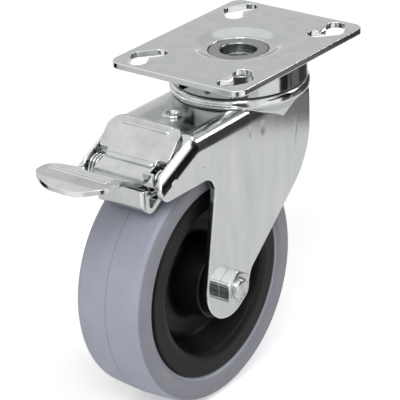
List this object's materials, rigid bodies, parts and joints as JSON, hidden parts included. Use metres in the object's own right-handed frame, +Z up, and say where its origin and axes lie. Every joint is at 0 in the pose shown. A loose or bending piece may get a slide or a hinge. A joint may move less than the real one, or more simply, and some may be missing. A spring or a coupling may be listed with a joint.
{
  "type": "swivel castor",
  "caption": "Swivel castor with a top plate, bright zinc fork, grey tyre on a black rim, and a foot pedal that locks the wheel and the swivel.",
  "frame": {"origin": "centre of the mounting plate's top face, on the swivel axis", "axes": "+Z up out of the plate; +X the rolling direction, away from the pedal; Y along the wheel's axle, with the axle's nut on the -Y side"},
  "size_m": [0.1895, 0.08, 0.1675],
  "materials": {
    "zinc": "bright zinc plate",
    "steel": "ground hardened steel",
    "spring": "drawn spring wire",
    "rim": "satin moulded nylon",
    "tyre": "smooth grey elastic rubber",
    "seal": "black moulded",
    "lining": "brown friction pad"
  },
  "bodies": {
    "plate": {"mounting_plate": "zinc", "upper_race_cup": "zinc", "kingpin": "zinc", "lower_race": "steel", "lock_ring": "steel"},
    "fork": {"fork": "zinc", "fork_race": "steel", "upper_balls": "steel", "lower_balls": "steel", "dust_seal": "seal", "hood_rivet": "zinc", "leaf_spring": "spring", "pivot_pin": "zinc", "lever_pin": "zinc", "torsion_spring_near": "spring", "torsion_spring_far": "spring", "axle_bolt": "zinc", "axle_nut": "zinc", "head_washer": "zinc", "axle_tube": "steel", "bearing_inner_near": "steel", "bearing_inner_far": "steel", "centre_spacer": "steel", "end_spacer_near": "steel", "end_spacer_far": "steel"},
    "wheel": {"wheel_rim": "rim", "tyre": "tyre", "bearing_outer_near": "steel", "bearing_outer_far": "steel", "bearing_balls_near": "steel", "bearing_balls_far": "steel", "dust_cap_near": "seal", "dust_cap_far": "seal"},
    "pedal": {"brake_pedal": "zinc"},
    "lever": {"brake_lever": "zinc", "brake_lining": "lining"}
  },
  "joints": [
    {"name": "swivel", "type": "hinge", "parent": "plate", "child": "fork", "pos_m": [0, 0, 0], "axis": [0, 0, 1], "continuous": true},
    {"name": "wheel_spin", "type": "hinge", "parent": "fork", "child": "wheel", "pos_m": [-0.0495, 0, -0.105], "axis": [0, 1, 0], "continuous": true},
    {"name": "pedal_hinge", "type": "hinge", "parent": "fork", "child": "pedal", "pos_m": [-0.086, 0, -0.0375], "axis": [0, -1, 0], "range_deg": [0, 24]},
    {"name": "lever_hinge", "type": "hinge", "parent": "fork", "child": "lever", "pos_m": [-0.066, 0, -0.0383], "axis": [0, -1, 0], "range_deg": [0, 2.8]}
  ],
  "couplings": [
    {"joint": "lever_hinge", "follows": "pedal_hinge", "ratio": 0.11666}
  ]
}
